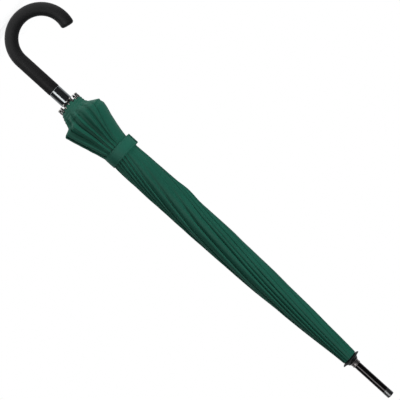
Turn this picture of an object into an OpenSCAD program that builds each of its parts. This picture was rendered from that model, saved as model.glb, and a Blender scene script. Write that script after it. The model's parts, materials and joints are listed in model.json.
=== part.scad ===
// Stick umbrella, closed and strapped, handle down and ferrule up.
// Origin: on the shaft's axis, halfway along the straight grip. +Z runs towards the ferrule.
// The crook bends towards -X. All sizes are in millimetres.

/* [Shaft] */
// Outside diameter of the shaft tube
shaft_d = 12; // [10:0.5:15]
// Wall of the shaft tube
shaft_wall = 0.8; // [0.5:0.1:1.2]

/* [Handle] */
// Diameter of the grip and of the crook
grip_d = 22.4; // [20:0.2:28]
// Radius of the crook's bend, to the middle of its bar
crook_r = 47.6; // [38:0.1:60]
// How far round the crook bends, in degrees
crook_sweep = 197; // [180:1:215]
// Rounding of the crook's end
crook_end_round = 4; // [2:0.5:6]
// Length of the straight grip
grip_len = 71; // [50:1:110]
// How deep the shaft goes into the grip
shaft_socket = 65; // [30:1:80]
// Diameter of the metal collar
collar_d = 21.9; // [19.5:0.1:28]
// Length of the metal collar
collar_len = 27.8; // [18:0.1:45]
// Length of the spigot that the collar is pressed on
spigot_len = 14; // [8:1:16]

/* [Ribs] */
// Number of ribs, stretchers and gores
rib_count = 16; // [8:1:16]
// Length of a rib, from its crown pivot to its end
rib_len = 586; // [450:1:720]
// Width of a rib's channel
rib_w = 2.6; // [2.4:0.1:2.8]
// Depth of a rib's channel
rib_depth = 3; // [2.8:0.1:3.4]
// Sheet thickness of the ribs
rib_wall = 0.4; // [0.3:0.05:0.5]
// How far from the shaft's axis a closed rib ends
tip_r = 19.5; // [17:0.1:22]
// Diameter of the ball on a rib's end
tip_ball_d = 3.2; // [2:0.1:4]
// Gap along the shaft between the collar and the ribs' ends
tip_gap = 2.7; // [1:0.1:8]

/* [Runner] */
// Distance from the collar up to the runner's stretcher slots
runner_lift = 21.7; // [20:0.1:32]
// Diameter of the runner's lower skirt
runner_skirt_d = 18.8; // [18:0.1:21]

/* [Canopy] */
// Radius of the rolled canopy above the strap
bundle_r = 26.4; // [24:0.1:32]
// Radius of the flare at the canopy's edge
flare_r = 41.5; // [34:0.5:52]
// Height of the flare's crest above the ribs' ends
flare_crest = 30; // [20:1:45]
// Height above the ribs' ends where the flare has closed to the roll
flare_end = 99; // [80:1:110]
// Radius of the rolled canopy at the cap
roll_top_r = 13.2; // [12.8:0.1:15]

/* [Closing strap] */
// Width of the strap
strap_w = 20; // [12:1:30]
// Thickness of the strap, two layers of cloth
strap_t = 1.3; // [0.8:0.1:2]
// Height of the strap's lower edge above the ribs' ends
strap_lift = 104.4; // [102:0.1:140]

/* [Cap and ferrule] */
// Diameter of the cap's thin rim
cap_d = 34; // [28:0.5:40]
// Diameter of the ferrule tube
ferrule_d = 12.2; // [10:0.1:15]
// Length of the ferrule tube above its flared root
ferrule_len = 60; // [40:1:90]
// Length of the flared root
ferrule_root_len = 8.2; // [8:0.1:14]
// Diameter of the ferrule's end bit
tip_bit_d = 12.6; // [10.5:0.1:15.5]
// Length of the ferrule's end bit
tip_bit_len = 13; // [8:0.5:20]

/* [Catches] */
// How far a catch's nose stands out from the shaft
nose_out = 2.6; // [2:0.1:2.8]
// Length of a catch's leaf
leaf_len = 38; // [30:1:45]

/* [Fits] */
// Gap all round a piece that is pressed or glued in
press_gap = 0.05; // [0.02:0.01:0.1]
// Gap all round a pivot in its eye
pivot_gap = 0.05; // [0.03:0.01:0.1]
// Gap between the runner and the shaft
slide_gap = 0.3; // [0.1:0.05:0.5]
// Gap on each side of a flat eye in its slot
slot_gap = 0.2; // [0.15:0.05:0.3]
// Gap between soft pieces and what is next to them
soft_gap = 0.5; // [0.3:0.1:1]

/* [Hidden] */
$fn = 96;
shaft_r = shaft_d / 2;
shaft_inner_r = shaft_r - shaft_wall;
grip_r = grip_d / 2;
grip_top = grip_len / 2;
collar_top = grip_top + collar_len;
collar_wall = 2.1;
collar_inner_r = collar_d / 2 - collar_wall;
collar_lip = 1.8;
edge_round = 0.8;
// The rounded end reaches this far into the crook's bar
crook_end_key = 2;

// Thickness of the flat eyes on ribs and stretchers, and the slots that they turn in
eye_t = rib_w - 2 * rib_wall - 2 * slot_gap;
slot_w = eye_t + 2 * slot_gap;
pin_r = 0.5;
rib_eye_r = 1.2;
stretcher_eye_r = 1.0;
stretcher_depth = 1.8;
channel_start = 4;

// Crown: the notch's core clears the shaft, and the ribs' eyes clear the core
notch_wall = 2.3;
notch_core_r = shaft_r + notch_wall;
eye_clearance = 0.3;
crown_r = notch_core_r + rib_eye_r + eye_clearance;
notch_fin_out = 1.7;
notch_fin_h = 2.4;
notch_below = 8;
notch_above = 10;
rib_end_z = collar_top + tip_gap;
crown_z = rib_end_z + sqrt(pow(rib_len, 2) - pow(tip_r - crown_r, 2));
lean = asin((tip_r - crown_r) / rib_len);

// Ribs and stretchers are equal on both sides of their pivot, so the runner's pivots stay on the crown's radius
runner_z = collar_top + runner_lift;
stretcher_len = (crown_z - runner_z) / 2 / cos(lean);
ring_r = crown_r + 2.2;
ring_below = 5;
ring_above = 6;
runner_gap = 1;
skirt_top = runner_z - 8;
skirt_bottom = collar_top + runner_gap;
window_bottom = skirt_bottom + 2.7;
window_top = skirt_top - 1;
runner_waist_r = shaft_r + 2.2;

// Canopy roll
roll_top_z = crown_z + 20.7;
cap_seat_z = roll_top_z + soft_gap;
roll_straight_end = crown_z - 257;
roll_shoulder_z = crown_z - 122;
roll_shoulder_r = roll_top_r + (bundle_r - roll_top_r) * 0.61;
hem_edge = 1;
gore_step = 360 / rib_count;
gore_gap = 0.6;
strap_in_r = bundle_r + soft_gap;
strap_z = rib_end_z + strap_lift;
strap_tab_angle = 50;
strap_tab_start = 150;

// Cap and ferrule
cap_skirt_r = crown_r + 1;
cap_skirt_bottom = crown_z + notch_above + press_gap;
cap_rim_z = cap_seat_z + 2.6;
cap_rim_t = 1.1;
ferrule_z = cap_rim_z + 5.8;
root_r = max(ferrule_d / 2 + 3.2, shaft_r + 3.3);
root_neck_r = max(ferrule_d / 2 + 0.8, shaft_r + 0.9);
shaft_top = ferrule_z + 5.6;
shaft_bottom = grip_top - shaft_socket;
tube_z = ferrule_z + ferrule_root_len;
bit_z = tube_z + ferrule_len;
end_z = bit_z + tip_bit_len;
bit_spigot_r = ferrule_d / 2 - 2.1;
bit_spigot_len = 12;
bit_round = 1.6;

// Catches
leaf_t = 1;
leaf_w = 2.4;
leaf_x = shaft_inner_r - 2.2;
nose_w = 2;
nose_len = 8.6;
nose_flat = 1.5;
nose_r = shaft_r + nose_out;
catch_slot_w = nose_w + 0.8;
catch_slot_gap = 0.6;
closed_catch_turn = -90;
open_catch_turn = 90;
closed_ledge_z = window_bottom + 0.4;
// The runner rises by this much when the ribs stand at open_angle from the shaft
open_angle = 66;
runner_travel = 2 * stretcher_len * (cos(lean) - cos(open_angle));
open_ledge_z = skirt_bottom + runner_travel - 0.6;

function two_digits(i) = str(i < 9 ? "0" : "", i + 1);
function numbered(name) = [for (i = [0 : rib_count - 1]) str(name, "_", two_digits(i))];
function turn(i) = i * gore_step;
// Points on a circle's arc, for a rounded or hollowed outline
function arc(x, y, r, from, to, steps = 8) =
    [for (k = [0 : steps]) let (a = from + (to - from) * k / steps) [x + r * cos(a), y + r * sin(a)]];
// Radius of a closed rib's middle at a height
function rib_r(z) = crown_r + (crown_z - z) * tan(lean);
// Radius that the canopy's inside keeps, clear of the ribs
function inside_r(z) = rib_r(z) + rib_depth / 2 + soft_gap;

module tube_between(z0, z1, r) {
    translate([0, 0, z0]) cylinder(r = r, h = z1 - z0);
}

// Soft-touch crook and straight grip, with the socket for the shaft and the spigot for the collar
module handle_crook() {
    color("#2a2b2d") difference() {
        union() {
            tube_between(-grip_top, grip_top, grip_r);
            tube_between(0, grip_top + spigot_len, collar_inner_r - press_gap);
            translate([-crook_r, 0, -grip_top]) rotate([-90, 0, 0]) {
                rotate_extrude(angle = crook_sweep) translate([crook_r, 0]) circle(r = grip_r);
                rotate([0, 0, crook_sweep]) translate([crook_r, 0, 0]) rotate([-90, 0, 0]) crook_end();
            }
        }
        tube_between(shaft_bottom, collar_top, shaft_r + press_gap);
    }
}

module crook_end() {
    rotate_extrude() polygon(concat(
        [[0, -crook_end_key], [grip_r - 1, -crook_end_key], [grip_r - 1, 0], [grip_r, 0]],
        arc(grip_r - crook_end_round, 0, crook_end_round, 10, 90),
        [[0, crook_end_round]]));
}

// Bright collar between the grip and the runner
module handle_collar() {
    outer = collar_d / 2;
    color("#6f7578") rotate_extrude() polygon(concat(
        [[collar_inner_r, grip_top]],
        arc(outer - edge_round, grip_top + edge_round, edge_round, -90, 0),
        arc(outer - edge_round, collar_top - edge_round, edge_round, 0, 90),
        [[shaft_r + press_gap, collar_top], [shaft_r + press_gap, collar_top - collar_lip]],
        [[collar_inner_r, collar_top - collar_lip]]));
}

// Steel tube from the grip to the ferrule, slotted for the two catches
module shaft_tube() {
    color("#3b3e40") difference() {
        tube_between(shaft_bottom, shaft_top, shaft_r);
        tube_between(shaft_bottom - 1, shaft_top + 1, shaft_inner_r);
        rotate([0, 0, closed_catch_turn])
            catch_slot(closed_ledge_z - catch_slot_gap, closed_ledge_z + nose_len + catch_slot_gap);
        rotate([0, 0, open_catch_turn])
            catch_slot(open_ledge_z - nose_len - catch_slot_gap, open_ledge_z + catch_slot_gap);
    }
}

module catch_slot(z0, z1) {
    translate([leaf_x, -catch_slot_w / 2, z0]) cube([shaft_r, catch_slot_w, z1 - z0]);
}

// Leaf spring with a wedge nose: the ledge faces +Z, and the leaf runs down from it
module catch_leaf() {
    translate([leaf_x, -leaf_w / 2, -leaf_len]) cube([leaf_t, leaf_w, leaf_len]);
    translate([0, nose_w / 2, 0]) rotate([90, 0, 0]) linear_extrude(nose_w) polygon([
        [leaf_x, 0], [nose_r, 0], [nose_r, -nose_flat],
        [shaft_inner_r, -nose_len], [leaf_x, -nose_len]]);
}

// Holds the runner down on the closed umbrella: its nose stands in the runner's window
module closed_catch() {
    color("#9a9da0") rotate([0, 0, closed_catch_turn]) translate([0, 0, closed_ledge_z])
        mirror([0, 0, 1]) catch_leaf();
}

// Holds the runner up on the open umbrella
module open_catch() {
    color("#9a9da0") rotate([0, 0, open_catch_turn]) translate([0, 0, open_ledge_z]) catch_leaf();
}

// Sliding sleeve whose slotted ring takes the stretchers
module runner() {
    color("#1c1d1f") difference() {
        union() {
            tube_between(skirt_bottom, skirt_top, runner_skirt_d / 2);
            tube_between(skirt_bottom, runner_z, runner_waist_r);
            tube_between(runner_z - ring_below, runner_z + ring_above, ring_r);
        }
        tube_between(skirt_bottom - 1, runner_z + ring_above + 1, shaft_r + slide_gap);
        eye_slots(runner_z - ring_below - 1, runner_z + ring_above + 1);
        rotate([0, 0, closed_catch_turn])
            translate([shaft_r, -catch_slot_w / 2 - catch_slot_gap, window_bottom])
                cube([grip_r, catch_slot_w + 2 * catch_slot_gap, window_top - window_bottom]);
    }
}

// One radial slot for each rib or stretcher, outside the notch's core
module eye_slots(z0, z1) {
    for (i = [0 : rib_count - 1]) rotate([0, 0, turn(i)])
        translate([notch_core_r, -slot_w / 2, z0]) cube([grip_r, slot_w, z1 - z0]);
}

// Slotted hub on the shaft that the ribs hang from
module crown_notch() {
    color("#1c1d1f") difference() {
        union() {
            tube_between(crown_z - notch_below, crown_z + notch_above, notch_core_r);
            tube_between(crown_z - notch_fin_h, crown_z + notch_fin_h, crown_r + notch_fin_out);
        }
        tube_between(crown_z - notch_below - 1, crown_z + notch_above + 1, shaft_r + press_gap);
        eye_slots(crown_z - notch_fin_h - 1, crown_z + notch_fin_h + 1);
        wire_ring(pin_r + pivot_gap);
    }
}

// Ring of wire through the notch's fins and the ribs' eyes
module crown_wire() {
    color("#9a9da0") wire_ring(pin_r);
}

module wire_ring(r) {
    translate([0, 0, crown_z]) rotate_extrude() translate([crown_r, 0]) circle(r = r, $fn = 32);
}

module cross_pin(r, length) {
    rotate([90, 0, 0]) cylinder(r = r, h = length, center = true, $fn = 32);
}

// Places a rib: its own -Z runs down the rib from the crown pivot, and +X faces outwards
module on_rib(i) {
    rotate([0, 0, turn(i)]) translate([crown_r, 0, crown_z]) rotate([0, -lean, 0]) children();
}

// Channel that opens towards the shaft, with a flat eye at the crown, a stretcher pin and a ball end
module rib(i) {
    half = rib_depth / 2;
    color("#2e3133") on_rib(i) difference() {
        union() {
            difference() {
                translate([-half, -rib_w / 2, -rib_len]) cube([rib_depth, rib_w, rib_len - channel_start]);
                translate([-half - rib_wall, -slot_w / 2, -rib_len - 1]) cube([rib_depth, slot_w, rib_len]);
            }
            translate([-1, -eye_t / 2, -2 * channel_start]) cube([half - 0.2, eye_t, 2 * channel_start]);
            translate([0, -eye_t / 2, -2 * channel_start]) cube([half, eye_t, channel_start]);
            cross_pin(rib_eye_r, eye_t);
            translate([0, 0, -stretcher_len]) cross_pin(pin_r, rib_w);
            rib_tip();
        }
        cross_pin(pin_r + 2 * pivot_gap, rib_w);
    }
}

// Metal end that fills the channel and ends in a ball
module rib_tip() {
    plug = 8;
    translate([0, 0, -rib_len]) {
        translate([-rib_depth / 2, -rib_w / 2, 0]) cube([rib_depth, rib_w, plug]);
        translate([0, 0, -tip_ball_d / 2]) cylinder(r = pin_r * 1.6, h = plug, $fn = 32);
        translate([0, 0, -tip_ball_d / 2]) sphere(d = tip_ball_d, $fn = 32);
    }
}

// Flat bar from the rib's pin down to the runner, with an eye at each end
module stretcher(i) {
    color("#4a4e50") on_rib(i) translate([0, 0, -stretcher_len]) rotate([0, 2 * lean, 0]) difference() {
        union() {
            translate([-stretcher_depth / 2, -eye_t / 2, -stretcher_len])
                cube([stretcher_depth, eye_t, stretcher_len]);
            cross_pin(stretcher_eye_r, eye_t);
            translate([0, 0, -stretcher_len]) cross_pin(stretcher_eye_r, eye_t);
        }
        cross_pin(pin_r + pivot_gap, rib_w);
        translate([0, 0, -stretcher_len]) cross_pin(pin_r + pivot_gap, rib_w);
    }
}

// One sector of the rolled canopy, from the ribs' ends up to the cap
module gore(i) {
    hem_z = rib_end_z + soft_gap + 2;
    crest_z = rib_end_z + flare_crest;
    color("#2f6454") rotate([0, 0, turn(i) + gore_gap / 2])
        rotate_extrude(angle = gore_step - gore_gap) polygon([
            [inside_r(hem_z), hem_z], [inside_r(hem_z) + hem_edge, hem_z],
            [flare_r, crest_z], [bundle_r, rib_end_z + flare_end],
            [bundle_r, roll_straight_end], [roll_shoulder_r, roll_shoulder_z],
            [roll_top_r, roll_top_z], [inside_r(crown_z), roll_top_z],
            [inside_r(crown_z), crown_z]]);
}

// Band of the canopy's cloth round the roll, with its free end lapped over the outside
module closing_strap() {
    color("#34705d") translate([0, 0, strap_z]) {
        rotate_extrude() translate([strap_in_r, 0]) square([strap_t, strap_w]);
        rotate([0, 0, strap_tab_start]) rotate_extrude(angle = strap_tab_angle)
            translate([strap_in_r + strap_t / 2, 0]) square([strap_t * 1.5, strap_w]);
    }
}

// Thin-rimmed cap that closes the canopy's top, hollowed up to the ferrule
module top_cap() {
    rim_r = cap_d / 2;
    hollow_h = ferrule_z - cap_rim_z - cap_rim_t;
    hollow_w = rim_r - root_r;
    color("#17181a") rotate_extrude() polygon(concat(
        [[shaft_r + press_gap, cap_skirt_bottom], [cap_skirt_r, cap_skirt_bottom]],
        [[cap_skirt_r, cap_seat_z], [rim_r, cap_rim_z], [rim_r, cap_rim_z + cap_rim_t]],
        [for (k = [1 : 8]) let (a = 90 * k / 8)
            [rim_r - hollow_w * sin(a), ferrule_z - hollow_h * cos(a)]],
        [[shaft_r + press_gap, ferrule_z]]));
}

// Ferrule: flared root over the shaft's end, then the polished tube
module ferrule() {
    hollow_h = ferrule_root_len - 1;
    color("#3a3736") difference() {
        rotate_extrude() polygon(concat(
            [[0, ferrule_z]],
            [for (k = [0 : 8]) let (a = 90 * k / 8)
                [root_r - (root_r - root_neck_r) * sin(a), ferrule_z + hollow_h * (1 - cos(a))]],
            [[ferrule_d / 2, tube_z], [ferrule_d / 2, bit_z], [0, bit_z]]));
        tube_between(ferrule_z - 1, shaft_top + press_gap, shaft_r + press_gap);
        tube_between(bit_z - bit_spigot_len - 1, bit_z + 1, bit_spigot_r + press_gap);
    }
}

// End bit that touches the ground
module ferrule_tip() {
    bit_r = tip_bit_d / 2;
    color("#6d7072") rotate_extrude() polygon(concat(
        [[0, bit_z - bit_spigot_len], [bit_spigot_r, bit_z - bit_spigot_len]],
        [[bit_spigot_r, bit_z + press_gap], [bit_r, bit_z + press_gap]],
        arc(bit_r - bit_round, end_z - bit_round, bit_round, 0, 90),
        [[0, end_z]]));
}

handle_crook();
handle_collar();
shaft_tube();
runner();
crown_notch();
crown_wire();
top_cap();
ferrule();
ferrule_tip();
closing_strap();
closed_catch();
open_catch();
for (i = [0 : rib_count - 1]) {
    rib(i);
    stretcher(i);
    gore(i);
}
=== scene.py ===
# %% [markdown]
# # A stick umbrella, rolled and strapped
#
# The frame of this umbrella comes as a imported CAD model: shaft, crook, runner,
# sixteen ribs and stretchers, and the two spring catches. This notebook dresses
# it. The hard, turned pieces that show are modelled again with fine edges, the
# cloth is laid in its pleats, and every piece gets a finish made from nodes.
#
# Everything is in metres. +Z runs along the shaft from the grip to the ferrule,
# and the crook bends towards -X.

# %% Load the frame
import json
import math

import bpy
import numpy as np
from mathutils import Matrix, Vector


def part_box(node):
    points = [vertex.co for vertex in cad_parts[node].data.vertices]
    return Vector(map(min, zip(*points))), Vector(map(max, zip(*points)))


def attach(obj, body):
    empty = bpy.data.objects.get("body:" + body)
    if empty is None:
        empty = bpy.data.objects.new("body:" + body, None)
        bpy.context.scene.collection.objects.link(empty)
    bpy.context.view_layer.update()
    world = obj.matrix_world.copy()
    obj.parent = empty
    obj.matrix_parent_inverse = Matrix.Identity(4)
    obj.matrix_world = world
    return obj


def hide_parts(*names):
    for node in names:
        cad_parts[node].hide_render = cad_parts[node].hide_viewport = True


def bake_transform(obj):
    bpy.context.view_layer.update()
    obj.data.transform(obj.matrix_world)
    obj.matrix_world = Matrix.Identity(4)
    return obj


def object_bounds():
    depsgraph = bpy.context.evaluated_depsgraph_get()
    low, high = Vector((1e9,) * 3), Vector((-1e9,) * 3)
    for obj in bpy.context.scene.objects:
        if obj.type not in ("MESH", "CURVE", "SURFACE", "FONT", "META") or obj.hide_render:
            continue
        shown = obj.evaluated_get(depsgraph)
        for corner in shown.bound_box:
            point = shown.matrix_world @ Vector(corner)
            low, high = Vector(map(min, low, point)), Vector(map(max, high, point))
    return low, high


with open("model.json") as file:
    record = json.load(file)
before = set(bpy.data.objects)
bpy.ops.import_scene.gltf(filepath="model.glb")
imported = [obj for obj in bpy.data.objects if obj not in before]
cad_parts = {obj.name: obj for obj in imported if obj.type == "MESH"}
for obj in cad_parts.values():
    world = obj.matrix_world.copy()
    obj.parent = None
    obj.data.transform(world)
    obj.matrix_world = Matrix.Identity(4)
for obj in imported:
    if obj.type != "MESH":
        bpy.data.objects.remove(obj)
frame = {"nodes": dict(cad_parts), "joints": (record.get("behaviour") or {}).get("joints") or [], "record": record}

cad_box = [list(corner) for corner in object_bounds()]
NODES = frame["nodes"]
JOINTS = {joint["name"]: joint for joint in frame["joints"]}
RIBS = 16
MM = 0.001
LEAN = math.radians(0.948455)  # the closed ribs' lean off the shaft
bpy.ops.object.select_all(action="DESELECT")
print("frame:", len(NODES), "nodes,", len(JOINTS), "joints, box in mm",
      [[round(v * 1000) for v in corner] for corner in cad_box])

# %% [markdown]
# ## Camera
#
# The umbrella lies on a slant, handle up on the left and ferrule down on the
# right, and is seen square on from its side. A long lens from far away keeps the
# shaft free of perspective. The camera's own axes are written down directly:
# its right and its up, as directions in the umbrella's frame.

# %% Camera
from mathutils import Matrix, Vector

LOOK_RIGHT = Vector((-0.6711, 0.0, 0.7414))
LOOK_UP = Vector((-0.7414, 0.0, -0.6711))
LOOK_BACK = LOOK_RIGHT.cross(LOOK_UP)
PICTURE_WIDTH = 0.640
LENS = 200.0
distance = PICTURE_WIDTH * LENS / 36.0
centre = Vector((-0.0266, 0.0, 0.3262))

lens = bpy.data.cameras.new("camera")
lens.lens = LENS
camera = bpy.data.objects.new("camera", lens)
bpy.context.scene.collection.objects.link(camera)
camera.matrix_world = Matrix.Translation(centre + LOOK_BACK * distance) @ Matrix(
    (LOOK_RIGHT, LOOK_UP, LOOK_BACK)).transposed().to_4x4()
lens.clip_end = 30.0
bpy.context.scene.camera = camera
bpy.context.scene.view_settings.view_transform = "Standard"
print("camera", round(distance, 2), "m away")

# %% [markdown]
# ## Light and floor
#
# A product table: a pale round floor, a white surround, and three soft lamps. The
# key lamp stands on the -X side, which is the view's upper right, and the fill
# lamp on the other side. Neither is seen in a reflection: a third lamp, the
# glint, is seen only there, and makes the streaks on the metal. The surround is
# white where the camera looks at it and grey where it lights. In a reflection it
# goes from dark to pale towards +Y, so chrome gets dark bands.

# %% Light and floor
def soft_lamp(name, place, aim, size, watts):
    lamp = bpy.data.lights.new(name, "AREA")
    lamp.shape = "RECTANGLE"
    lamp.size, lamp.size_y = size
    lamp.energy = watts
    holder = bpy.data.objects.new(name, lamp)
    bpy.context.scene.collection.objects.link(holder)
    holder.location = place
    holder.rotation_euler = (Vector(aim) - Vector(place)).to_track_quat("-Z", "Y").to_euler()
    return holder


LAMP_AIM = (0, 0, 0.33)
key = soft_lamp("key", (-1.5, -1.3, 0.6), LAMP_AIM, (0.35, 0.9), 21)
fill = soft_lamp("fill", (0.8, -2.0, 0.5), LAMP_AIM, (0.5, 1.2), 8.5)
for lamp in (key, fill):
    lamp.visible_glossy = False
glint = soft_lamp("glint", (1.0, -2.1, 0.4), LAMP_AIM, (1.1, 2.6), 15)
glint.visible_diffuse = False

world = bpy.data.worlds.new("surround")
bpy.context.scene.world = world
world.use_nodes = True
sky = world.node_tree
sky.nodes.clear()
rays = sky.nodes.new("ShaderNodeLightPath")
seen, lighting, mirrored = [sky.nodes.new("ShaderNodeBackground") for _ in range(3)]
seen.inputs["Color"].default_value = (1, 1, 1, 1)
lighting.inputs["Color"].default_value = (0.085, 0.087, 0.09, 1)
heading, part, tones = [sky.nodes.new("ShaderNode" + kind)
                        for kind in ("TexCoord", "SeparateXYZ", "ValToRGB")]
sky.links.new(heading.outputs["Generated"], part.inputs[0])
sky.links.new(part.outputs["Y"], tones.inputs[0])
tones.color_ramp.elements[0].position, tones.color_ramp.elements[1].position = 0.10, 0.55
tones.color_ramp.elements[0].color = (0.025, 0.026, 0.028, 1)
tones.color_ramp.elements[1].color = (0.42, 0.43, 0.44, 1)
sky.links.new(tones.outputs["Color"], mirrored.inputs["Color"])
for_metal, for_camera = [sky.nodes.new("ShaderNodeMixShader") for _ in range(2)]
sky.links.new(rays.outputs["Is Glossy Ray"], for_metal.inputs[0])
sky.links.new(lighting.outputs[0], for_metal.inputs[1])
sky.links.new(mirrored.outputs[0], for_metal.inputs[2])
sky.links.new(rays.outputs["Is Camera Ray"], for_camera.inputs[0])
sky.links.new(for_metal.outputs[0], for_camera.inputs[1])
sky.links.new(seen.outputs[0], for_camera.inputs[2])
sky.links.new(for_camera.outputs[0], sky.nodes.new("ShaderNodeOutputWorld").inputs[0])

FLOOR_R, FLOOR_GAP = 0.30, 0.0004
bpy.ops.mesh.primitive_circle_add(
    vertices=96, radius=FLOOR_R, fill_type="NGON", location=(0, 0, cad_box[0][2] - FLOOR_GAP))
floor = bpy.context.object
floor.name = "floor"
bpy.ops.object.transform_apply(location=True, rotation=True, scale=True)
pale = bpy.data.materials.new("pale_floor")
pale.use_nodes = True
pale_skin = pale.node_tree.nodes["Principled BSDF"].inputs
pale_skin["Base Color"].default_value = (0.9, 0.9, 0.9, 1)
pale_skin["Emission Color"].default_value = (1, 1, 1, 1)
pale_skin["Emission Strength"].default_value = 0.75
floor.data.materials.append(pale)
print("floor at", round(cad_box[0][2] * 1000, 1), "mm")

# %% [markdown]
# ## A small workbench for finishes
#
# Each finish starts from the same shader, and then gets its own pattern: a
# mottle in its colour, a play in its gloss, and a fine relief. The patterns are
# read in the object's own metres, so they keep their real size on every piece.
# What is the same all over a surface is written straight on the shader.

# %% Finish helpers
class Finish:
    """One material, with helpers that add nodes and join them up."""

    def __init__(self, name, colour, rough, **shader):
        self.mat = bpy.data.materials.new(name)
        self.mat.use_nodes = True
        self.tree = self.mat.node_tree
        self.skin = self.tree.nodes["Principled BSDF"]
        self.skin.inputs["Base Color"].default_value = (*colour, 1)
        self.skin.inputs["Roughness"].default_value = rough
        for socket, value in shader.items():
            self.skin.inputs[socket.replace("_", " ")].default_value = value
        self.mat.diffuse_color = (*colour, 1)

    def add(self, kind, **values):
        made = self.tree.nodes.new("ShaderNode" + kind)
        for key, value in values.items():
            setattr(made, key, value)
        return made

    def join(self, out, into):
        self.tree.links.new(out, into)

    def metres(self, stretch=(1, 1, 1), source="Object"):
        place = self.add("TexCoord")
        scale = self.add("Mapping")
        scale.inputs["Scale"].default_value = stretch
        self.join(place.outputs[source], scale.inputs["Vector"])
        return scale.outputs["Vector"]

    def noise(self, scale, detail=3.0, stretch=(1, 1, 1), source="Object"):
        cloud = self.add("TexNoise")
        cloud.inputs["Scale"].default_value = scale
        cloud.inputs["Detail"].default_value = detail
        self.join(self.metres(stretch, source), cloud.inputs["Vector"])
        return cloud.outputs["Fac"]

    def ramp(self, value, stops):
        tones = self.add("ValToRGB")
        band = tones.color_ramp
        while len(band.elements) < len(stops):
            band.elements.new(0.5)
        for element, (place, tone) in zip(band.elements, stops):
            element.position = place
            element.color = (*tone, 1) if hasattr(tone, "__len__") else (tone, tone, tone, 1)
        self.join(value, tones.inputs["Fac"])
        return tones.outputs["Color"]

    def maths(self, work, a, b):
        sum_ = self.add("Math", operation=work)
        for socket, value in zip(sum_.inputs, (a, b)):
            if hasattr(value, "links"):
                self.join(value, socket)
            else:
                socket.default_value = value
        return sum_.outputs[0]

    def colour(self, value, stops):
        self.join(self.ramp(value, stops), self.skin.inputs["Base Color"])

    def gloss(self, value, low, high):
        span = self.add("MapRange")
        span.inputs["To Min"].default_value = low
        span.inputs["To Max"].default_value = high
        self.join(value, span.inputs["Value"])
        self.join(span.outputs["Result"], self.skin.inputs["Roughness"])

    def relief(self, height, depth, strength=1.0):
        bump = self.add("Bump")
        bump.inputs["Distance"].default_value = depth
        bump.inputs["Strength"].default_value = strength
        previous = self.skin.inputs["Normal"]
        if previous.links:
            self.join(previous.links[0].from_socket, bump.inputs["Normal"])
        self.join(height, bump.inputs["Height"])
        self.join(bump.outputs["Normal"], previous)


def shades(colour, *factors):
    """The same colour at several brightnesses, spread evenly over a ramp."""
    last = len(factors) - 1
    return [(k / last, tuple(c * f for c in colour)) for k, f in enumerate(factors)]


print("finish helpers ready")

# %% [markdown]
# ## Hard finishes
#
# The crook has a soft-touch rubber coat: nearly black, matt, with a fine dusty
# grain. The collar is dark polished chrome with lines from turning, drawn by a
# noise that is squeezed along the shaft. The ferrule's tube is black nickel, its
# flared root a paler and duller nickel, and its end bit a grey brushed metal. The
# frame's steel is lacquered black, the springs are bare, and the nylon hubs are
# moulded with a light orange-peel skin.

# %% Hard finishes
grip_coat = Finish("grip_soft_black", (0.009, 0.0092, 0.0098), 0.55, Specular_IOR_Level=0.28)
dust = grip_coat.noise(900, 4)
grip_coat.colour(dust, shades((0.009, 0.0092, 0.0098), 0.7, 1.0, 1.4))
grip_coat.gloss(grip_coat.noise(45, 5), 0.47, 0.64)
grip_coat.relief(grip_coat.noise(3200, 2), 0.00005, 0.5)


def turned_metal(name, colour, rough, tone, along=220.0, around=6.0):
    """Metal with fine rings from the lathe and a faint smudge over them."""
    metal = Finish(name, colour, rough, Metallic=1.0)
    rings = metal.noise(along, 4, (around / along, around / along, 1))
    metal.colour(rings, shades(colour, *tone))
    metal.gloss(metal.noise(60, 5), rough * 0.75, rough * 1.5)
    metal.relief(rings, 0.00002, 0.35)
    return metal


collar_chrome = turned_metal("collar_chrome", (0.46, 0.49, 0.50), 0.13, (0.85, 1.0, 1.1), 900)
ferrule_nickel = turned_metal("ferrule_gunmetal", (0.095, 0.088, 0.088), 0.16,
                              (0.75, 1.0, 1.3), 700)
root_nickel = turned_metal("ferrule_root", (0.62, 0.57, 0.56), 0.42, (0.75, 1.0, 1.2), 500)
tip_metal = turned_metal("tip_grey_metal", (0.40, 0.405, 0.41), 0.30, (0.7, 1.0, 1.2), 1100)
nickel = turned_metal("rib_end_nickel", (0.60, 0.58, 0.55), 0.17, (0.8, 1.0, 1.1), 1500)
spring_steel = turned_metal("spring_steel", (0.42, 0.43, 0.44), 0.25, (0.8, 1.0, 1.1), 500)


def lacquered(name, colour, rough):
    """Steel under black lacquer: specks, a wavy gloss and rubbed paler places."""
    coat = Finish(name, colour, rough, Metallic=0.35, Coat_Weight=0.5, Coat_Roughness=0.12)
    rubbed = coat.noise(35, 6, (4, 4, 1))
    coat.colour(rubbed, shades(colour, 0.8, 1.0, 1.0, 1.9))
    coat.gloss(coat.noise(120, 4), rough * 0.7, rough * 1.4)
    coat.relief(coat.noise(1400, 3), 0.00002, 0.4)
    return coat


shaft_lacquer = lacquered("shaft_steel", (0.030, 0.032, 0.034), 0.25)
rib_lacquer = lacquered("rib_steel", (0.028, 0.030, 0.032), 0.30)
stretcher_lacquer = lacquered("stretcher_steel", (0.040, 0.042, 0.044), 0.32)


def moulded(name, colour, rough):
    """Moulded plastic: orange-peel relief and faint flow clouds in the colour."""
    plastic = Finish(name, colour, rough)
    plastic.colour(plastic.noise(160, 4), shades(colour, 0.75, 1.0, 1.5))
    plastic.gloss(plastic.noise(90, 3), rough * 0.8, rough * 1.3)
    plastic.relief(plastic.noise(1300, 2), 0.00003, 0.5)
    return plastic


hub_nylon = moulded("black_nylon", (0.012, 0.012, 0.013), 0.40)
cap_plastic = moulded("cap_black", (0.009, 0.0095, 0.010), 0.34)
print("hard finishes:", [m.name for m in bpy.data.materials])

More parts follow.
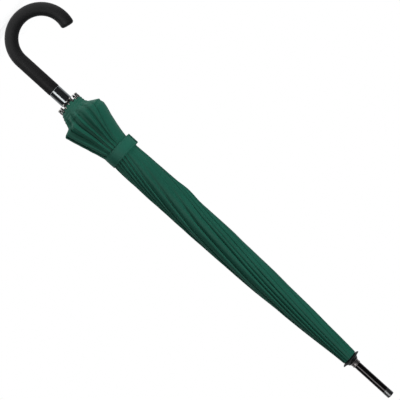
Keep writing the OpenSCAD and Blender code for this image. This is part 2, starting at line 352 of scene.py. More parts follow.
# %% [markdown]
# ## Cloth
#
# The cover is pongee, a thin and dense plain weave with a soft silky sheen. Its
# threads run along each gore and across it, so the weave is read from the
# cloth's own map, which is laid out in metres. Two crossed waves make the
# over-and-under of the threads, and slow noises add handling marks: small
# changes of tone and of gloss, and shallow creases that follow the pleats.

# %% Cloth finish
WAVE_UNIT = 2 * math.pi / 20.0


def woven(name, colour, pitch):
    cloth = Finish(name, colour, 0.55, Specular_IOR_Level=0.26, Sheen_Weight=0.16,
                   Sheen_Roughness=0.42, Sheen_Tint=(0.30, 0.85, 0.66, 1))
    threads = []
    for way in ("X", "Y"):
        wave = cloth.add("TexWave", bands_direction=way)
        wave.inputs["Scale"].default_value = WAVE_UNIT / pitch
        wave.inputs["Distortion"].default_value = 0.6
        wave.inputs["Detail"].default_value = 1.0
        cloth.join(cloth.metres(source="UV"), wave.inputs["Vector"])
        threads.append(wave.outputs["Fac"])
    weave = cloth.maths("MULTIPLY", *threads)
    slow = cloth.noise(26, 5, (1, 1, 0.4))
    slub = cloth.noise(900, 2, (1, 0.04, 1), "UV")
    tone = cloth.maths("ADD", cloth.maths("MULTIPLY", slow, 0.72),
                       cloth.maths("ADD", cloth.maths("MULTIPLY", weave, 0.10),
                                   cloth.maths("MULTIPLY", slub, 0.18)))
    cloth.colour(tone, [(0.25, tuple(c * 0.80 for c in colour)),
                        (0.50, colour),
                        (0.75, tuple(c * 1.22 for c in colour))])
    cloth.gloss(cloth.noise(70, 4), 0.46, 0.66)
    cloth.relief(cloth.noise(60, 4, (1, 1, 0.12)), 0.0010, 0.35)
    cloth.relief(weave, 0.00006, 0.30)
    return cloth


canopy_cloth = woven("canopy_cloth", (0.017, 0.128, 0.086), 0.00042)
strap_cloth = woven("strap_cloth", (0.022, 0.146, 0.101), 0.00042)
thread_cloth = Finish("stitch_thread", (0.020, 0.085, 0.062), 0.5, Sheen_Weight=0.3)
twist = thread_cloth.noise(2600, 3)
thread_cloth.colour(twist, shades((0.022, 0.090, 0.066), 0.6, 1.0, 1.5))
thread_cloth.relief(twist, 0.00006, 0.6)
print("cloth finishes ready")

# %% Finishes on the frame's own pieces
FRAME_FINISH = {"shaft_tube": shaft_lacquer, "runner": hub_nylon, "crown_notch": hub_nylon,
                "crown_wire": spring_steel, "closed_catch": spring_steel,
                "open_catch": spring_steel}
for number in range(1, RIBS + 1):
    FRAME_FINISH[f"rib_{number:02d}"] = rib_lacquer
    FRAME_FINISH[f"stretcher_{number:02d}"] = stretcher_lacquer
for node, finish in FRAME_FINISH.items():
    NODES[node].data.materials.clear()
    NODES[node].data.materials.append(finish.mat)
print("painted", len(FRAME_FINISH), "frame pieces")

# %% [markdown]
# ## Turned pieces
#
# The collar, cap, ferrule and end bit are all turned on the shaft's axis. On a
# real lathe the tool follows an outline. Here a ring of edges is added at the
# outline's first point, and is extruded and resized from point to point. Where
# the outline returns to its start the piece is a tube, and its first and last
# rings are merged. A small bevel can break the sharp edges, because a crisp edge
# that catches no light looks drawn; of these pieces only the ferrule gets one.

# %% Turning helpers
def start_ring(name, radius, height, sides):
    bpy.ops.object.select_all(action="DESELECT")
    bpy.ops.mesh.primitive_circle_add(
        vertices=sides, radius=radius * MM, location=(0, 0, height * MM), fill_type="NOTHING")
    bpy.context.object.name = name
    bpy.ops.object.mode_set(mode="EDIT")
    return bpy.context.object


def draw_ring(step, factor, about):
    """Extrudes the selected ring by a step and resizes it about a point, in mm."""
    bpy.ops.mesh.extrude_region_move(
        TRANSFORM_OT_translate={"value": tuple(v * MM for v in step)})
    bpy.ops.transform.resize(value=(factor,) * 3, center_override=tuple(v * MM for v in about))


def finish_shape(piece, bevel=0.0, angle=28):
    """Closes open ends, merges doubles, turns faces outwards, and smooths."""
    bpy.ops.mesh.select_all(action="SELECT")
    bpy.ops.mesh.remove_doubles(threshold=0.000004)
    bpy.ops.mesh.select_all(action="DESELECT")
    bpy.ops.mesh.select_non_manifold(extend=False)
    bpy.ops.mesh.fill_holes(sides=0)
    bpy.ops.mesh.select_all(action="SELECT")
    bpy.ops.mesh.normals_make_consistent(inside=False)
    bpy.ops.object.mode_set(mode="OBJECT")
    bpy.ops.object.transform_apply(location=True, rotation=True, scale=True)
    if bevel:
        broken = piece.modifiers.new("broken_edge", "BEVEL")
        broken.limit_method = "ANGLE"
        broken.angle_limit = math.radians(angle)
        broken.width = bevel * MM
        broken.segments = 3
        bpy.ops.object.modifier_apply(modifier=broken.name)
    bpy.ops.object.shade_smooth_by_angle(angle=math.radians(angle + 4))
    bpy.ops.object.select_all(action="DESELECT")


def turn(name, outline, finish, bevel=0.0, sides=72):
    """Turns an outline of (radius, height) points, in mm, on the shaft's axis."""
    piece = start_ring(name, *outline[0], sides)
    for (r0, z0), (r1, z1) in zip(outline, outline[1:]):
        draw_ring((0, 0, z1 - z0), r1 / r0, (0, 0, z1))
    finish_shape(piece, bevel)
    piece.data.materials.append(finish.mat)
    print(name, len(piece.data.polygons), "faces")
    return piece


def arc(x, y, radius, start, end, steps):
    """Points on part of a circle, from one angle in degrees to another, for an outline."""
    angles = [math.radians(start + (end - start) * k / steps) for k in range(steps + 1)]
    return [(x + radius * math.cos(a), y + radius * math.sin(a)) for a in angles]


def top_of(node):
    """Height of a frame piece's top, in mm."""
    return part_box(node)[1][2] * 1000


def foot_of(node):
    """Height of a frame piece's foot, in mm."""
    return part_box(node)[0][2] * 1000


print("collar's foot to ferrule's end:", round(foot_of("handle_collar"), 1), "to",
      round(top_of("ferrule_tip"), 1))

# %% [markdown]
# ## Crook and grip
#
# The handle is one bar: straight where the collar sits, then bent into a hook
# of a little more than half a turn, and rounded over at its end. It is drawn as
# a ring that is extruded down the grip, spun about the hook's centre and drawn
# in at the end. Spin gives an exact arc, where a curve would only come near.

# %% Crook and grip
GRIP_R = 11.2
INNER_R = GRIP_R - 3.2
GRIP_HALF = 35.5
HOOK_R = 47.6
HOOK_SWEEP = 197.0
END_ROUND = 4.0
TOP_ROUND = 0.9

crook = start_ring("crook_handle", INNER_R, GRIP_HALF, 64)
top = [(GRIP_R - TOP_ROUND, GRIP_HALF)] + arc(
    GRIP_R - TOP_ROUND, GRIP_HALF - TOP_ROUND, TOP_ROUND, 90, 0, 5)[1:]
top += [(GRIP_R, z) for z in (24, 12, 0, -12, -24, -GRIP_HALF)]
last = (INNER_R, GRIP_HALF)
for radius, height in top:
    draw_ring((0, 0, height - last[1]), radius / last[0], (0, 0, height))
    last = (radius, height)
bpy.ops.mesh.spin(steps=56, angle=math.radians(HOOK_SWEEP),
                  center=(-HOOK_R * MM, 0, -GRIP_HALF * MM), axis=(0, -1, 0))
sweep = math.radians(HOOK_SWEEP)
end = Vector((-HOOK_R + HOOK_R * math.cos(sweep), 0, -GRIP_HALF - HOOK_R * math.sin(sweep)))
ahead = Vector((-math.sin(sweep), 0, -math.cos(sweep)))
done, now = 0.0, GRIP_R
for radius, reach in arc(GRIP_R - END_ROUND, 0, END_ROUND, 9, 90, 9) + [(4.0, 4.25), (1.2, 4.4)]:
    draw_ring(ahead * (reach - done), radius / now, end + ahead * reach)
    done, now = reach, radius
finish_shape(crook)
crook.data.materials.append(grip_coat.mat)
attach(crook, "shaft")
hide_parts("handle_crook")
print("crook", len(crook.data.polygons), "faces, reaches x",
      round(min(v.co.x for v in crook.data.vertices) * 1000, 1))

# %% [markdown]
# ## Collar
#
# A short polished sleeve covers the joint between the grip and the shaft. Its
# edges roll in, and two hairline grooves near its ends are where the tool was
# stopped. They are cut into the outline, so they show in the mesh.

# %% Collar
collar_foot, collar_top = foot_of("handle_collar"), top_of("handle_collar")
COLLAR_R, COLLAR_BORE = 10.95, 8.85
SHAFT_HOLE, TOP_WALL = 6.1, 1.8
ROLLED = 0.8
GROOVE_IN, GROOVE_DEEP = 2.6, 0.28


def groove(z):
    floor_r = COLLAR_R - GROOVE_DEEP
    return [(COLLAR_R, z - 0.35), (floor_r, z - 0.1), (floor_r, z + 0.1), (COLLAR_R, z + 0.35)]


outline = [(COLLAR_BORE, collar_foot)]
outline += arc(COLLAR_R - ROLLED, collar_foot + ROLLED, ROLLED, -90, 0, 5)
outline += groove(collar_foot + GROOVE_IN) + [(COLLAR_R, (collar_foot + collar_top) / 2)]
outline += groove(collar_top - GROOVE_IN)
outline += arc(COLLAR_R - ROLLED, collar_top - ROLLED, ROLLED, 0, 90, 5)
outline += [(SHAFT_HOLE, collar_top), (SHAFT_HOLE, collar_top - TOP_WALL),
            (COLLAR_BORE, collar_top - TOP_WALL), (COLLAR_BORE, collar_foot)]
collar = turn("collar_sleeve", outline, collar_chrome)
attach(collar, "shaft")
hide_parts("handle_collar")

# %% [markdown]
# ## Cap, ferrule and end bit
#
# A black cap with a thin, pointed rim nips the top of the cover. Its upper side
# is hollowed up to the ferrule. The ferrule starts as a flared root with a bead
# round its neck and goes on as a polished tube, so its lower faces get the root's
# duller nickel. The end bit is a grey metal shoe with a rounded nose and one
# turned line.

# %% Cap
cap_foot, cap_top = foot_of("top_cap"), top_of("top_cap")
CAP_RIM_R, CAP_RIM_Z = 17.0, cap_top - 5.8
seat = CAP_RIM_Z - 2.6
rim_hollow = [(CAP_RIM_R - 0.3 - 7.4 * math.sin(a), cap_top - 4.6 * math.cos(a))
              for a in [math.radians(9 * k) for k in range(1, 11)]]
outline = [(6.1, cap_foot), (10.8, cap_foot), (10.8, seat), (13.4, seat + 0.7),
           (15.4, seat + 1.6), (CAP_RIM_R - 0.3, CAP_RIM_Z - 0.15), (CAP_RIM_R, CAP_RIM_Z + 0.15),
           (CAP_RIM_R, CAP_RIM_Z + 0.8), (CAP_RIM_R - 0.3, CAP_RIM_Z + 1.1)]
outline += rim_hollow + [(6.1, cap_top), (6.1, cap_foot)]
cap = turn("rimmed_cap", outline, cap_plastic)
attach(cap, "shaft")
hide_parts("top_cap")

# %% Ferrule and end bit
root_z, tube_end = foot_of("ferrule"), top_of("ferrule")
tube_z = root_z + 8.2
ROOT_TO_TUBE = 0.4
outline = [(6.3, root_z), (9.3, root_z)]
outline += [(9.3 - 2.4 * math.sin(a), root_z + 5.9 * (1 - math.cos(a)))
            for a in [math.radians(9 * k) for k in range(1, 11)]]
outline += arc(6.75, tube_z - 1.25, 0.75, -70, 70, 6)
outline += [(6.1, tube_z - 0.2), (6.1, tube_z + 20), (6.1, tube_z + 40), (6.1, tube_end - 0.3),
            (5.8, tube_end), (2.0, tube_end)]
ferrule = turn("ferrule_tube", outline, ferrule_nickel, bevel=0.12)
ferrule.data.materials.append(root_nickel.mat)
for face in ferrule.data.polygons:
    face.material_index = int(face.center.z < (tube_z - ROOT_TO_TUBE) * MM)
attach(ferrule, "shaft")
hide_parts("ferrule")

bit_z, end_z = tube_end + 0.05, top_of("ferrule_tip")
BIT_R, NOSE = 6.3, 1.6
outline = [(2.0, bit_z), (BIT_R - 0.2, bit_z), (BIT_R, bit_z + 0.2), (BIT_R, bit_z + 1.6),
           (BIT_R - 0.22, bit_z + 1.75), (BIT_R - 0.22, bit_z + 2.05), (BIT_R, bit_z + 2.2),
           (BIT_R, end_z - 5)]
outline += arc(BIT_R - NOSE, end_z - NOSE, NOSE, 0, 90, 7) + [(2.0, end_z), (0.6, end_z)]
end_bit = turn("end_bit", outline, tip_metal)
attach(end_bit, "shaft")
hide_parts("ferrule_tip")

# %% [markdown]
# ## Rib ends
#
# Each rib ends in a small bright ball on a pin, past the hem. It keeps the rib
# from poking a finger, and the cover is sewn to it. The frame's rib is one piece
# of black lacquer, so a nickel cup, neck and ball are turned once and copied
# onto all sixteen ribs, each copy with its own mesh.

# %% Rib ends
RIB_END_Z, RIB_END_R = 66.0, 19.5


def rib_end_shape():
    """Cup over the rib's end, neck and ball, turned on the Z axis with its ball down."""
    ball = 1.75
    outline = [(0.35, -1.6 - ball), *arc(0, -1.6, ball, -78, 62, 12), (0.95, 0.5), (1.0, 1.2),
               (1.55, 1.5), (1.72, 2.0), (1.72, 5.2), (1.5, 5.6), (0.4, 5.6)]
    return turn("rib_end_01", outline, nickel, sides=20)


def set_on_rib(piece, number):
    """Turns a shape from the origin onto a rib's end, leaning as the rib does."""
    azimuth = 2 * math.pi * number / RIBS
    place = Matrix.Rotation(azimuth, 4, "Z") @ Matrix.Translation(
        (RIB_END_R * MM, 0, RIB_END_Z * MM)) @ Matrix.Rotation(-LEAN, 4, "Y")
    piece.data.transform(place)


pattern = rib_end_shape()
rib_ends = [pattern]
for number in range(1, RIBS):
    copy = pattern.copy()
    copy.data = pattern.data.copy()
    copy.name = f"rib_end_{number + 1:02d}"
    bpy.context.scene.collection.objects.link(copy)
    rib_ends.append(copy)
for number, piece in enumerate(rib_ends):
    set_on_rib(piece, number)
    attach(piece, f"rib_{number + 1:02d}")
print(len(rib_ends), "rib ends")

# %% [markdown]
# ## How the cover folds
#
# Between two ribs hangs one triangle of cloth, a gore. On the closed umbrella
# each gore is a pleat: two layers that leave the seams on their ribs, run out
# and round the shaft together, and meet in a sharp fold, the crest. All sixteen
# pleats are wound the same way and lie inside each other like roof tiles, so
# only the strip from one crest to the next shows.
#
# The pleats are laid out by rule: along a row of the roll a place is counted in
# pleats, crest number 3 at place 3.0. A layer that starts at its own crest sinks
# steadily as it goes on, towards its seams. The outline of the roll, the turn of
# the crests with height and the valleys beside each crest are then free: a tight
# roll, and a bell that springs open below the strap.
#
# The rule doesn't keep the layers apart. On the finished meshes gores cut through
# themselves, through other gores and through ribs. Most places where two gores
# cross are inside the roll, and some are close under its surface. So they look
# like layers, but aren't a set of clear ones.

# %% Outline and crests of the roll
STEP = 2 * math.pi / RIBS
CROWN_R, CROWN_Z = 9.8, 651.92
ROLL_TOP = top_of("gore_01")
# The roll's outside, in mm: at each height its radius towards -X, +X and the front.
RIM_Z = [68, 70, 72, 74, 76, 80, 84, 88, 90, 92, 94.6, 96, 98, 100, 102, 106, 110, 116, 122, 130,
         138, 146, 154, 162, 169, 173, 188, 195, 230, 250, 300, 350, 400, 430, 460, 490, 520,
         550, 580, 610, 640, 673]
RIM_LEFT = [11.5, 17.0, 20.0, 21.3, 21.4, 21.4, 22.3, 25.2, 28, 30.9, 34.4, 36.4, 39.2, 38.3, 38.6,
            39.8, 39.0, 37.5, 35.4, 32.6, 30.5, 28.2, 26.2, 24.6, 23.4, 23.3, 23.3, 23.4, 24.5,
            24.7, 24.8, 24.6, 24.9, 23.9, 22.9, 22.3, 21.0, 19.7, 18.5, 17.0, 15.4, 13.5]
RIM_RIGHT = [14.0, 17.0, 19.8, 22.0, 23.2, 25.0, 26.6, 28.0, 28.8, 29.6, 31.0, 35.2, 41.0, 44.6,
             44.8, 43.6, 42.9, 41.6, 40.0, 38.2, 35.9, 34.0, 31.4, 29.6, 28.0, 26.5, 26.5, 27.0,
             27.5, 27.5, 27.3, 27.0, 26.3, 26.0, 24.9, 23.8, 22.2, 21.0, 19.1, 17.0, 15.0, 12.9]
RIM_FRONT = [20.6, 21.0, 21.4, 21.9, 22.7, 24.8, 28.0, 34.0, 37.0, 38.8, 39.9, 40.2, 40.6, 40.9,
             41.1, 41.2, 40.7, 39.2, 37.4, 35.2, 33.0, 31.0, 28.7, 27.0, 25.6, 25.0, 25.0, 25.3,
             26.0, 26.1, 26.0, 25.8, 25.6, 24.9, 23.9, 23.0, 21.6, 20.3, 18.8, 17.0, 15.2, 13.2]
# Azimuths of the crests, in degrees: at 92 mm, at 150 mm, and from the strap up.
BELL_LOW = [-207, -191, -174, -135, -112, -85, -65, -34, -9, 11, 32, 53, 74, 95, 115, 135]
BELL_HIGH = [-202, -187, -165, -108, -96, -80, -64, -43, -19, 5, 28, 50, 72, 95, 117, 138]
AT_STRAP = [-196, -181, -150, -118, -92, -79, -65, -51, -38, -15, 15, 40, 63, 95, 124, 145]
# How far the crests have turned at each height, in degrees.
TWIST_Z, TWIST = [191, 350, 460, 673], [0, 74, 107, 165]
# Depth of the valley at each crest, in mm, and its width, in radians.
BELL_DIP = [4, 3, 4, 5, 8.5, 13, 13, 13.5, 3, 6, 10, 12, 8, 11, 7, 5]
BELL_WIDTH = [0.06, 0.06, 0.06, 0.05, 0.07, 0.11, 0.14, 0.17, 0.12, 0.1, 0.14, 0.15, 0.1, 0.14,
              0.1, 0.08]
rng = np.random.default_rng(11)
ROLL_DIP = rng.uniform(2.4, 4.4, RIBS)
ROLL_WIDTH = rng.uniform(0.05, 0.09, RIBS)
HEM_WAVE, HEM_PITCH = 0.45, 4.9
BUMP, BUMP_Z, BUMP_SPAN = 2.2, 299, 22
SEAM_OUT, SEAM_TUCK = 2.0, 1.0


def ease(t):
    t = np.clip(t, 0, 1)
    return t * t * (3 - 2 * t)


def rim(z, azimuth):
    """Radius of the roll's outside: an oval, with creases at the hem and one soft bump."""
    left, right, front = (np.interp(z, RIM_Z, r) for r in (RIM_LEFT, RIM_RIGHT, RIM_FRONT))
    c, s = np.cos(azimuth), np.sin(azimuth)
    plain = 1 / np.sqrt((c / np.where(c < 0, left, right)) ** 2 + (s / front) ** 2)
    hem = HEM_WAVE * np.sin(2 * math.pi * z / HEM_PITCH + 1.3 * np.sin(2 * azimuth)) * np.interp(
        z, [69, 74, 86, 91], [0, 1, 1, 0])
    bump = BUMP * math.exp(-((z - BUMP_Z) / BUMP_SPAN) ** 2) * np.exp(-(np.cos(azimuth) + 1) / 0.12)
    return plain + hem + bump


def seam_r(z, outside):
    """Radius of the seams: just outside the ribs, but always inside the roll's outside."""
    on_ribs = max(CROWN_R + (CROWN_Z - z) * math.tan(LEAN), CROWN_R) + SEAM_OUT
    return np.minimum(on_ribs, outside - SEAM_TUCK)


def crests(z):
    """Azimuths of three turns of crests at a height, from crest 0 on."""
    levels = np.radians([BELL_LOW, BELL_HIGH, AT_STRAP])
    share = ease((z - 160) / 30)
    bell = levels[0] + (levels[1] - levels[0]) * np.clip((z - 92) / 58, 0, 1.1)
    turned = bell + (levels[2] - bell) * share + math.radians(np.interp(z, TWIST_Z, TWIST))
    return np.concatenate([turned + 2 * math.pi * k for k in range(3)])


def pleats_wound(crest):
    """How many pleats a layer passes under between its crest and its own ribs."""
    return np.mean((np.arange(RIBS) + 0.5) * STEP - crest[:RIBS]) / STEP


print("layers at the strap", round(2 * pleats_wound(crests(180)), 1))

# %% One row of one pleat
FOLD_POINTS, ARM_POINTS = 7, 6
SINK, ARM_RISE = 0.75, 0.25
DIP_LIMIT, GAP_LIMIT = 0.67, 0.9
BEHIND_CREST = 0.994
TOP_STRIP = np.array([BEHIND_CREST, 0.96, 0.92, 0.86, 0.76, 0.62, 0.45, 0.28, 0.15, 0.07, 0.025, 0])
UNDER = np.array([1, 0.8, 0.62, 0.45, 0.30, 0.18, 0.09, 0.03])


def dips(z, along, place, azimuth, crest):
    """How far each place sinks: every strip falls away from its own crest into the
    valley before the next one, and a covered layer comes up again behind the crest."""
    bell = np.interp(z, [83, 92, 140, 172], [0, 1, 0.9, 0])
    roll = np.interp(z, [150, 180, 560, 665], [0, 1, 0.75, 0.5])
    wide = bell * np.array(BELL_WIDTH) + (1 - bell) * ROLL_WIDTH
    deep = bell * np.array(BELL_DIP) + roll * ROLL_DIP
    k = place.astype(int)
    wide_next, deep_next = wide[(k + 1) % RIBS], deep[(k + 1) % RIBS]
    to_next = (crest[k + 1] - azimuth) / wide_next
    fall = deep_next * (0.35 * (place - k) ** 1.6 + 0.65 * np.exp(0.2025 - (to_next - 0.45) ** 2))
    past = (azimuth - crest[k]) / wide[k % RIBS]
    edge = 0.5 * deep[k % RIBS] * np.exp(-(past / 0.4) ** 2)
    back = deep[k % RIBS] * np.exp(-past) * (along >= BEHIND_CREST)
    return np.maximum(np.maximum(fall, edge), back)


def pleat_row(gore, z, crest):
    """Points of one pleat at one height, from its rib's seam to the crest and back."""
    pleats = pleats_wound(crest)
    along = np.concatenate([1 + (pleats - 1) * UNDER, TOP_STRIP])
    arm = np.linspace(1, 0, ARM_POINTS)[:-1]
    place = gore + along
    azimuth = np.interp(place, np.arange(len(crest)), crest)
    outside = rim(z, azimuth)
    inside = seam_r(z, outside)
    room = outside - inside
    left = 1 - along / pleats
    depth = np.minimum(dips(z, along, place, azimuth, crest), DIP_LIMIT * room)
    gap = np.minimum(0.5 * (SINK * room - depth) / pleats, GAP_LIMIT)
    depth *= left
    strip = np.diff(crest)[place.astype(int)]
    swell = np.sin(math.pi * (place % 1)) * np.minimum(strip / 0.5, 1) * left
    swell *= 0.5 * np.interp(z, [80, 95, 160, 170, 190, 205, 500, 670],
                             [0, 1, 1, 0, 0, 1, 0.8, 0])
    skin = inside + room * (1 - SINK * along / pleats) - depth + swell

    def limb(layer):
        """One of the pleat's two layers, from its seam to just short of the crest."""
        start = azimuth[0]
        seam = (gore + 0.5 + layer / 2) * STEP
        seam += 2 * math.pi * round((start - seam) / (2 * math.pi))
        a = start + (seam - start) * ease(arm)
        edge = rim(z, a)
        low = seam_r(z, edge)
        r = low + ARM_RISE * (edge - low) * (1 - arm) + layer * gap[0] / 2 * (1 - arm)
        return np.concatenate([r, skin + layer * gap / 2]), np.concatenate([a, azimuth])

    r1, a1 = limb(-1)
    r2, a2 = limb(+1)
    bend = np.linspace(math.pi, 0, FOLD_POINTS)[1:-1]
    r_fold = skin[-1] + gap[-1] / 2 * np.cos(bend)
    a_fold = crest[gore] - gap[-1] * 0.7 * np.sin(bend) / skin[-1]
    r = np.concatenate([r1, r_fold, r2[::-1]])
    a = np.concatenate([a1, a_fold, a2[::-1]])
    return np.stack([r * np.cos(a), r * np.sin(a), np.full(len(r), float(z))], 1)


RING_FOOT = CROWN_Z - 0.9
ROWS = np.concatenate([np.arange(68, 108, 1.3), np.arange(108, 200, 3.0),
                       np.arange(200, RING_FOOT - 3, 5.0), [RING_FOOT]])
RING_ROWS = np.linspace(RING_FOOT, ROLL_TOP, 5)
print(len(ROWS), "rows of", len(pleat_row(0, 300.0, crests(300.0))), "points in each pleat")

# %% [markdown]
# ## How the cover opens
#
# When the runner goes up, one seam of a gore follows its own rib and the other
# the next rib. In between the cloth has to unfold and spread evenly. Each point
# of the pleat therefore gets a share, 0 at the first seam and 1 at the last,
# which says how much of the turn between the two bodies it takes. The share is
# found by trying: the point is moved to the open position for a range of
# shares, and the one that puts it at its even place round the canopy is kept.
# The shares are worked out when the gores are sewn, but are not stored on them.

# %% Turning one point of a gore into its open place
slide_full = JOINTS["runner_slide"]["range_m"][1]
follow = {c["joint"]: c["ratio"] for c in frame["record"]["behaviour"]["couplings"]}


def rotation(axis, angle):
    """Matrix of one turn about an axis."""
    return np.array(Matrix.Rotation(angle, 3, Vector(axis)))


def turn_about(points, pivot, axis, angles):
    """Turns each point by its own angle about one axis."""
    n = np.array(axis) / np.linalg.norm(axis)
    v = points - pivot
    c, s = np.cos(angles)[:, None], np.sin(angles)[:, None]
    return pivot + v * c + np.cross(n, v) * s + n * (v @ n)[:, None] * (1 - c)


def open_place(points, number, shares):
    """Where a gore's points are on the open umbrella, in metres, for their shares."""
    hinge, rib = JOINTS[f"gore_hinge_{number:02d}"], JOINTS[f"rib_hinge_{number:02d}"]
    swing = follow[hinge["name"]] * slide_full
    lift = follow[rib["name"]] * slide_full
    moved = turn_about(points, np.array(hinge["pos_m"]), hinge["axis"], shares * swing)
    pivot = np.array(rib["pos_m"])
    return (moved - pivot) @ rotation(rib["axis"], lift).T + pivot


def shares_for(points, number, target):
    """The share of each point that brings it to its target azimuth from the first rib."""
    tries = np.linspace(-0.5, 1.5, 61)
    first = (number - 1) * STEP
    miss = np.empty((len(tries), len(points)))
    for k, share in enumerate(tries):
        spot = open_place(points, number, np.full(len(points), share))
        azimuth = np.arctan2(spot[:, 1], spot[:, 0]) - first
        miss[k] = np.mod(azimuth + math.pi, 2 * math.pi) - math.pi - target
    crossing = (miss[:-1] <= 0) & (miss[1:] > 0)
    nearest = np.where(crossing, np.abs(tries[:-1, None] - target / STEP), 9.0).argmin(0)
    column = np.arange(len(points))
    low, high = miss[nearest, column], miss[nearest + 1, column]
    share = tries[nearest] + (tries[1] - tries[0]) * (-low) / (high - low)
    return np.where(crossing.any(0), share, target / STEP)


print("a gore swings", round(math.degrees(follow["gore_hinge_01"] * slide_full), 1), "degrees")

# %% Sew the gores
def cloth_mesh(name, *grids):
    """Sheets in one mesh, each a grid of points in mm, mapped in metres by its lengths."""
    faces, map_points, first = [], [], 0
    for grid in grids:
        rows, columns = grid.shape[:2]
        corner = first + np.arange(rows * columns).reshape(rows, columns)
        faces += np.stack([corner[:-1, :-1], corner[:-1, 1:], corner[1:, 1:], corner[1:, :-1]],
                          -1).reshape(-1, 4).tolist()
        down = lengths(grid.transpose(1, 0, 2)).T
        map_points.append(np.stack([lengths(grid), down], -1).reshape(-1, 2) * MM)
        first += rows * columns
    mesh = bpy.data.meshes.new(name)
    points = np.concatenate([grid.reshape(-1, 3) for grid in grids]) * MM
    mesh.from_pydata(points.tolist(), [], faces)
    uv = mesh.uv_layers.new(name="cloth")
    corners = np.empty(len(mesh.loops), int)
    mesh.loops.foreach_get("vertex_index", corners)
    uv.data.foreach_set("uv", np.concatenate(map_points)[corners].ravel())
    mesh.polygons.foreach_set("use_smooth", [True] * len(mesh.polygons))
    sheet = bpy.data.objects.new(name, mesh)
    bpy.context.scene.collection.objects.link(sheet)
    return sheet


def lengths(points):
    """Running length along a row of points."""
    steps = np.linalg.norm(np.diff(points, axis=-2), axis=-1)
    return np.concatenate([np.zeros(steps.shape[:-1] + (1,)), np.cumsum(steps, -1)], -1)


def pleat_grid(number, rows):
    """A pleat's points on several rows, for the gore of one rib."""
    return np.stack([pleat_row(number - 1, z, crests(z)) for z in rows])


gores = []
for number in range(1, RIBS + 1):
    grid = pleat_grid(number, ROWS)
    across = lengths(grid)
    share_of_row = across / across[:, -1:]
    gore = cloth_mesh(f"gore_cloth_{number:02d}", grid)
    points = grid.reshape(-1, 3) * MM
    shares = shares_for(points, number, share_of_row.ravel() * STEP)
    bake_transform(gore)
    gore.data.materials.append(canopy_cloth.mat)
    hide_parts(f"gore_{number:02d}")
    gores.append(gore)
area = sum(p.area for p in gores[0].data.polygons)
print(len(gores), "gores, each", len(gores[0].data.polygons), "faces and", round(area, 4), "m2")

# %% [markdown]
# Above the crown the cloth can't swing with the ribs, because the cap nips it.
# So the pleats' top ends are one short ring of cloth that stays on the shaft.
# It starts on the same row of points as the gores end. When the canopy opens the
# gores' top edges and the ribs push into its folds, and cut through them.

# %% Nipped ring under the cap
ring = cloth_mesh("crown_ring_cloth", *[pleat_grid(k, RING_ROWS) for k in range(1, RIBS + 1)])
ring.data.materials.append(canopy_cloth.mat)
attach(ring, "shaft")

# %% [markdown]
# ## Closing strap
#
# A strip of the same cloth, doubled and stitched along both edges, goes once
# round the roll and laps over itself, so its free end stands a little proud. It
# is drawn as a long thin spiral with its own thickness, and two rows of separate
# stitches lie on it.

# %% Strap
STRAP_LOW, STRAP_HIGH = foot_of("closing_strap"), top_of("closing_strap")
STRAP_R, STRAP_T = 26.95, 0.9
STRAP_START, STRAP_TURN = math.radians(150), math.radians(360 + 43)
LAP_FROM, LAP_OVER, LAP_GAP = math.radians(348), math.radians(14), 0.15
END_FROM, END_OVER, END_PROUD = math.radians(380), math.radians(24), 0.5
STITCH_IN = 2.1


def strap_r(turned):
    """Inner radius of the strap after a turn from its fixed end, lapping outwards."""
    lap = ease((turned - LAP_FROM) / LAP_OVER)
    proud = END_PROUD * ease((turned - END_FROM) / END_OVER) ** 2
    return STRAP_R + (STRAP_T + LAP_GAP) * lap + proud


def strap_point(turned, height, out=0.0):
    """A point on the strap, in mm, a little way out from its inner side."""
    r = strap_r(turned) + out
    azimuth = STRAP_START + turned
    return np.stack([r * np.cos(azimuth), r * np.sin(azimuth), height + 0 * r], -1)


def mark_turns(piece, values):
    """Notes on each vertex how far along the strap's turn it is."""
    mark = piece.data.attributes.new("strap_turn", "FLOAT", "POINT")
    mark.data.foreach_set("value", np.asarray(values, np.float32))


turns = np.linspace(0, STRAP_TURN, 176)
ROUND = 0.35
edge = [(ROUND, 0.0), (0, ROUND), (0, STRAP_T - ROUND), (ROUND, STRAP_T), (1.6, STRAP_T),
        (STITCH_IN, STRAP_T - 0.22), (2.6, STRAP_T), (8, STRAP_T + 0.08)]
section = [(STRAP_LOW + up, out) for up, out in edge]
section += [(STRAP_HIGH - down, out) for down, out in edge[::-1]]
section += [(STRAP_HIGH - 8, 0.0), (STRAP_LOW + 8, 0.0)]
section.append(section[0])
grid = np.stack([strap_point(turns, height, out) for height, out in section], 1)
strap = cloth_mesh("strap_band", grid)
mark_turns(strap, np.repeat(turns, len(section)))
strap.select_set(True)
bpy.context.view_layer.objects.active = strap
bpy.ops.object.mode_set(mode="EDIT")
finish_shape(strap, angle=50)
strap.data.materials.append(strap_cloth.mat)
strap_length = lengths(grid[:, 0])[-1]
print("strap", round(float(strap_length)), "mm long,", len(strap.data.polygons), "faces")

# %% Stitches on the strap
PITCH, STITCH, THREAD_R, SUNK = 2.6, 1.7, 0.20, 0.12
BEAD = ((-1, 0.35), (-0.6, 1), (0.6, 1), (1, 0.35))
SIDES = 6


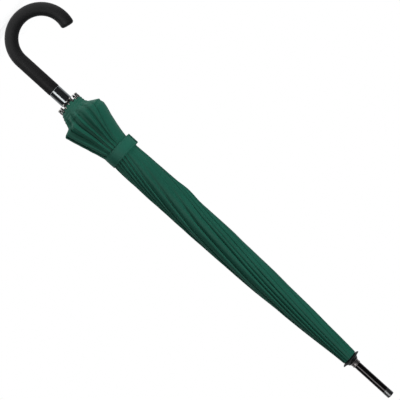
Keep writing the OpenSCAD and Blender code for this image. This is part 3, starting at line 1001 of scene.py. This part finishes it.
def stitch_rows():
    """Small raised stitches as one mesh: each a bead of six sides along its row."""
    verts, faces, places = [], [], []
    count = int(strap_length / PITCH) - 1
    for height in (STRAP_LOW + STITCH_IN, STRAP_HIGH - STITCH_IN):
        for k in range(count):
            mid = STRAP_TURN * (k + 0.5) / count
            half = STITCH / 2 / (STRAP_R + STRAP_T)
            base = len(verts)
            for t, fat in BEAD:
                places += [mid + t * half] * SIDES
                for side in range(SIDES):
                    b = 2 * math.pi * side / SIDES
                    verts.append(strap_point(
                        np.array(mid + t * half), height + THREAD_R * fat * math.cos(b),
                        STRAP_T - SUNK + THREAD_R * fat * math.sin(b)))
            for step in range(len(BEAD) - 1):
                for side in range(SIDES):
                    a = base + step * SIDES + side
                    b = base + step * SIDES + (side + 1) % SIDES
                    faces.append((a, a + SIDES, b + SIDES, b))
            last = len(verts) - 1
            faces.append(tuple(base + side for side in range(SIDES)))
            faces.append(tuple(last - side for side in range(SIDES)))
    return np.array(verts) * MM, faces, places


verts, faces, places = stitch_rows()
mesh = bpy.data.meshes.new("strap_stitches")
mesh.from_pydata(verts.tolist(), [], faces)
stitches = bpy.data.objects.new("strap_stitches", mesh)
mark_turns(stitches, places)
bpy.context.scene.collection.objects.link(stitches)
stitches.select_set(True)
bpy.context.view_layer.objects.active = stitches
bpy.ops.object.mode_set(mode="EDIT")
finish_shape(stitches, angle=60)
stitches.data.materials.append(thread_cloth.mat)
print(len(verts) // (len(BEAD) * SIDES), "stitches")

# %% [markdown]
# On the open umbrella the strap is let go and lies folded on the canopy beside
# its rib. For each point, the turn about the strap's hinge is worked out that
# would make the whole band lie in one direction, a little off the cloth, in
# folds. How far it has to turn is counted along the strap, so its two ends part
# and the band stays in one piece. The turns are only printed, and the strap
# itself is not moved.

# %% How far the strap would unfold
hinge = JOINTS["strap_hinge"]
hinge_spot = np.array(hinge["pos_m"])
SWING = math.radians(90)
LIES_AT, FOLD_FLAT = math.radians(360 + 18), 0.975


def unfold(piece):
    """Works out, by its place along the strap, how far each vertex of a piece turns from its rib to the strap's
    body.
    """
    co = np.array([v.co for v in piece.data.vertices])
    mark = piece.data.attributes["strap_turn"]
    turned = np.array([m.value for m in mark.data])
    heading = np.arctan2(co[:, 1] - hinge_spot[1], co[:, 0] - hinge_spot[0])
    heading += 2 * math.pi * np.round((STRAP_START + turned - heading) / (2 * math.pi))
    shares = (LIES_AT - heading) / SWING * FOLD_FLAT
    piece.data.attributes.remove(mark)
    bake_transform(piece)
    return shares


print("strap shares", unfold(strap).round(2)[[0, -1]], "from its ends")
unfold(stitches)
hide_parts("closing_strap")
print("strap hangs from", [round(v * 1000, 1) for v in hinge_spot])

# %% Size of the frame
print("CAD box", [[round(v * 1000, 1) for v in c] for c in cad_box])
